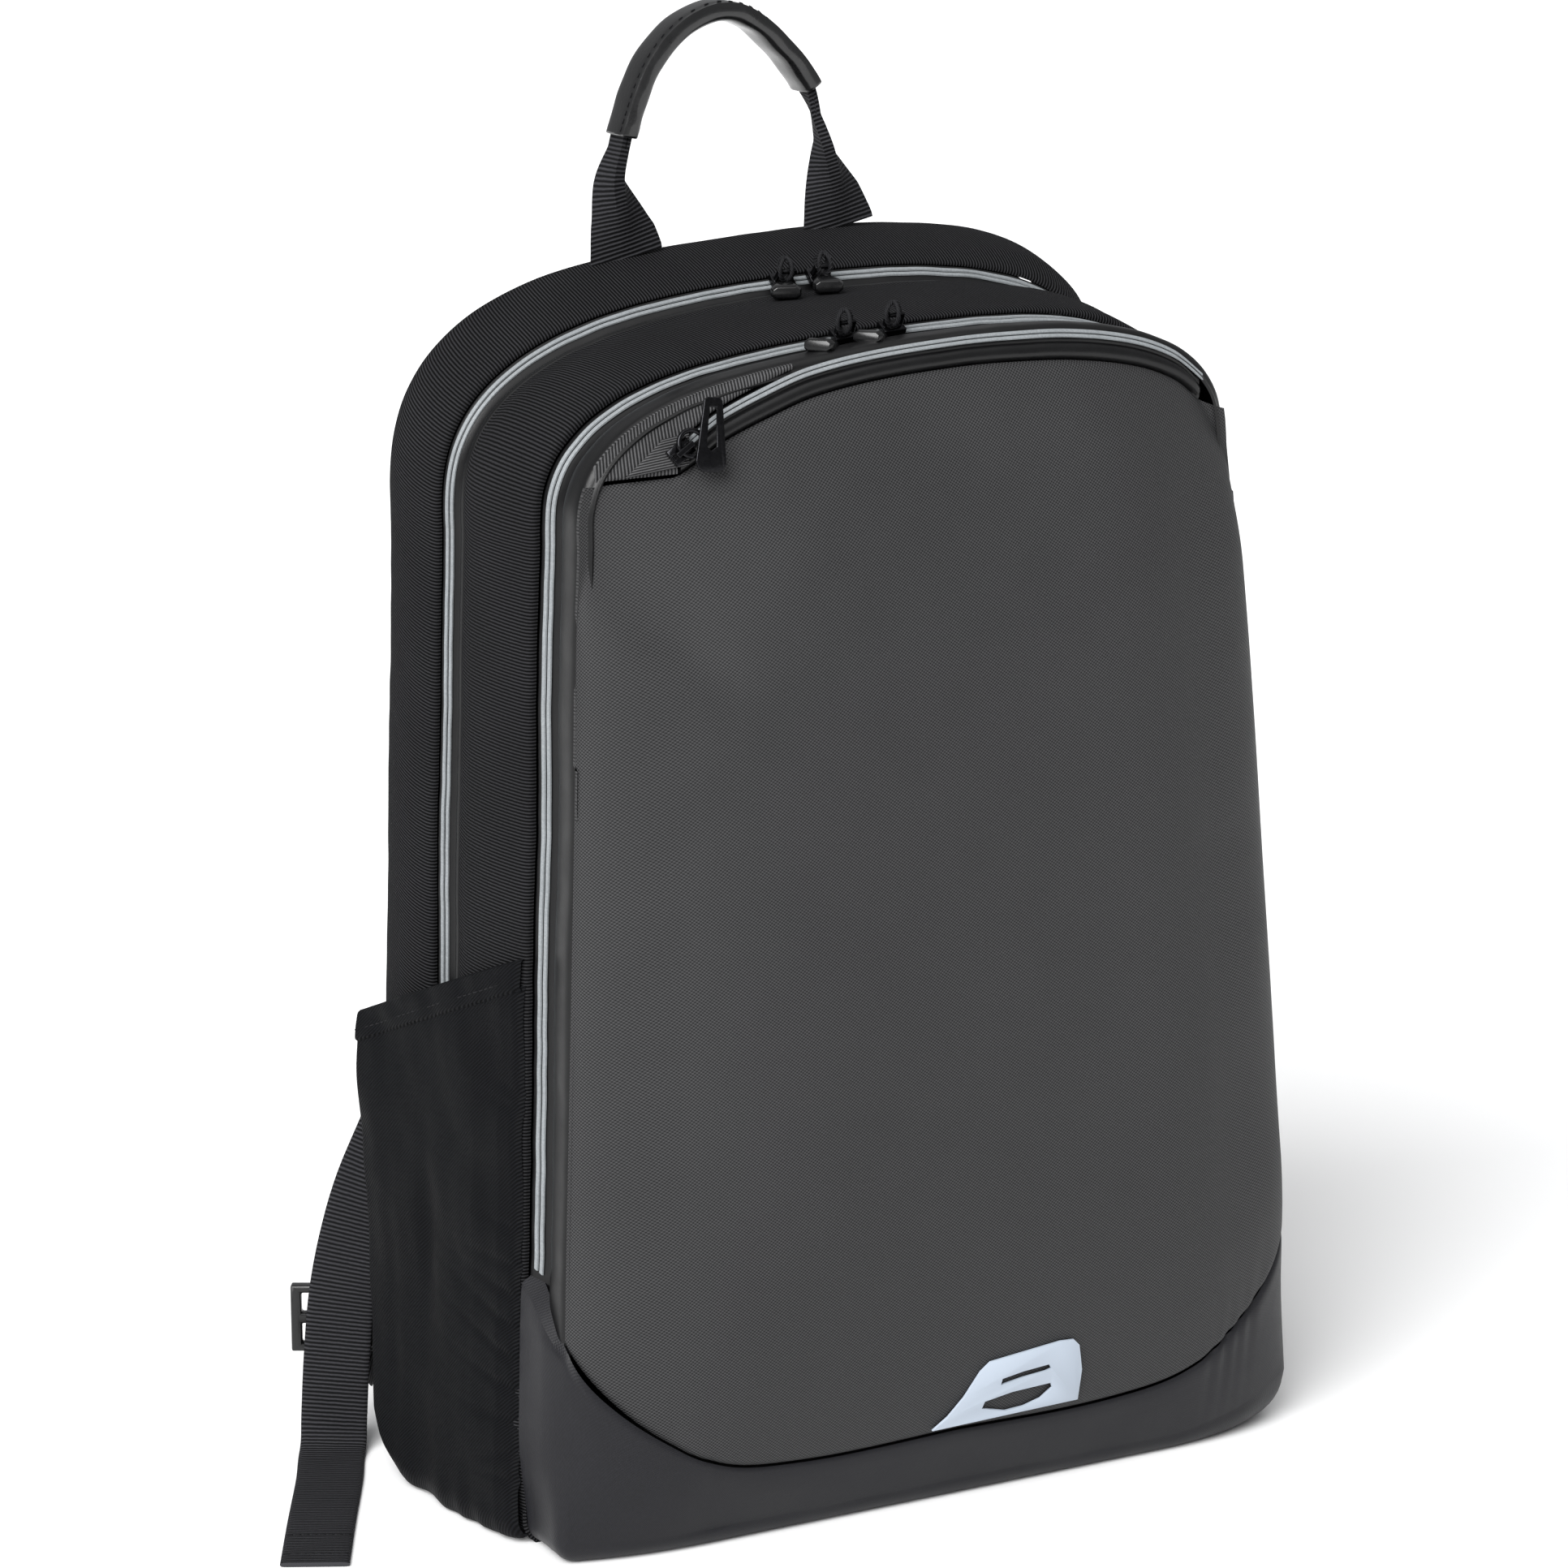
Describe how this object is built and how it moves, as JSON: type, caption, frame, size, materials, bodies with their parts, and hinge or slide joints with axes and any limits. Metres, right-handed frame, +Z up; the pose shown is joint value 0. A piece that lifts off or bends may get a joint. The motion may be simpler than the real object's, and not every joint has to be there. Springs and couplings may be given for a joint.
{
  "type": "laptop backpack",
  "caption": "Slim laptop backpack with a domed coated front, striped zippers, side pockets, a gripped top handle and straps hanging behind.",
  "frame": {"origin": "on the floor under the middle of the bag's flat underside", "axes": "+Z up, the domed front faces -Y, the back panel and shoulder straps face +Y, the seen side pocket is at -X"},
  "size_m": [0.4268, 0.2448, 0.5477],
  "materials": {
    "ribbed_cloth": "matt ribbed polyester",
    "coated_cloth": "fine coated weave, satin",
    "smooth_coated_cloth": "smooth coated cloth, satin",
    "pocket_cloth": "matt twill",
    "coated_tape": "smooth black coated zipper tape",
    "reflective": "silver reflective film",
    "spacer_mesh": "matt padded mesh",
    "webbing": "ribbed webbing",
    "leatherette": "black leatherette, satin",
    "plastic": "black moulded plastic",
    "dark_metal": "glossy black metal"
  },
  "bodies": {
    "root": {"rear_gusset": "ribbed_cloth", "middle_gusset": "ribbed_cloth", "front_top_gusset": "ribbed_cloth", "zipper_end_tab": "ribbed_cloth", "front_panel": "coated_cloth", "base_panel": "smooth_coated_cloth", "bottom_panel": "smooth_coated_cloth", "back_panel": "spacer_mesh", "reflective_tab": "reflective", "handle_grip": "leatherette", "handle_webbing": "webbing", "pocket_slider": "dark_metal", "puller_link": "dark_metal", "puller_tab": "dark_metal", "pocket_zipper_tape": "coated_tape", "pocket_zipper_upper_stripe": "reflective", "pocket_zipper_lower_stripe": "reflective", "rear_zipper_tape": "coated_tape", "rear_zipper_back_stripe": "reflective", "rear_zipper_front_stripe": "reflective", "rear_slider_left": "plastic", "rear_cord_left": "webbing", "rear_pull_end_left": "plastic", "rear_slider_right": "plastic", "rear_cord_right": "webbing", "rear_pull_end_right": "plastic", "main_zipper_tape": "coated_tape", "main_zipper_back_stripe": "reflective", "main_zipper_front_stripe": "reflective", "main_slider_left": "plastic", "main_cord_left": "webbing", "main_pull_end_left": "plastic", "main_slider_right": "plastic", "main_cord_right": "webbing", "main_pull_end_right": "plastic", "left_side_pocket": "pocket_cloth", "left_pocket_hem": "pocket_cloth", "left_strap_pad": "spacer_mesh", "left_strap_webbing": "webbing", "left_anchor_webbing": "webbing", "left_ladder_lock": "plastic", "right_side_pocket": "pocket_cloth", "right_pocket_hem": "pocket_cloth", "right_strap_pad": "spacer_mesh", "right_strap_webbing": "webbing", "right_anchor_webbing": "webbing", "right_ladder_lock": "plastic"}
  },
  "joints": []
}
